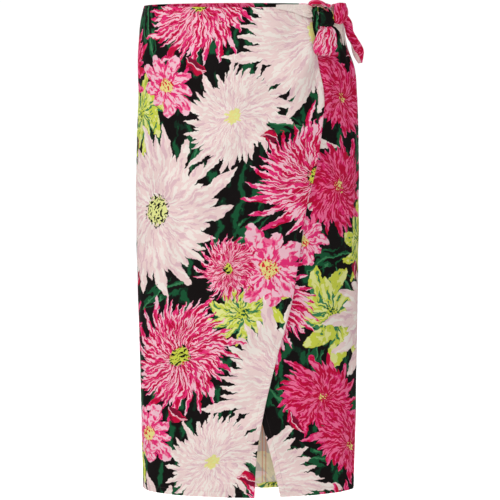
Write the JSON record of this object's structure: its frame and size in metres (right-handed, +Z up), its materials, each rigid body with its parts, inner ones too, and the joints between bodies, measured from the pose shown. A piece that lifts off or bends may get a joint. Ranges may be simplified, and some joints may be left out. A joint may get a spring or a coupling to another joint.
{
  "type": "wrap skirt",
  "caption": "Midi wrap skirt filled out as worn: two lapping front panels, a back panel, open waist and hem, a slit at the lap, and a tie knotted in a bow at the side.",
  "frame": {"origin": "middle of the waist opening, at the height of the waist edge at the side seams", "axes": "+Z up along the skirt's length, -Y the way the front faces, +X the side where the bow sits"},
  "size_m": [0.3601, 0.248, 0.7996],
  "materials": {
    "printed_crepe_front": "matt floral printed crepe",
    "printed_crepe_lower_front": "matt floral printed crepe",
    "printed_crepe_back": "matt floral printed crepe",
    "printed_crepe_facing": "matt floral printed crepe",
    "printed_crepe_tie": "matt floral printed crepe, sewn double",
    "crepe_reverse": "pale reverse of the printed crepe"
  },
  "bodies": {
    "root": {"front_over": "printed_crepe_front", "front_under": "printed_crepe_lower_front", "back": "printed_crepe_back", "back_facing": "printed_crepe_facing", "tie_knot": "printed_crepe_tie", "tie_gather_over": "crepe_reverse", "tie_gather_under": "crepe_reverse", "tie_wrap": "printed_crepe_tie", "tie_loop_front": "printed_crepe_tie", "tie_loop_back": "printed_crepe_tie", "tie_end_front": "printed_crepe_tie", "tie_end_side": "printed_crepe_tie"}
  },
  "joints": []
}
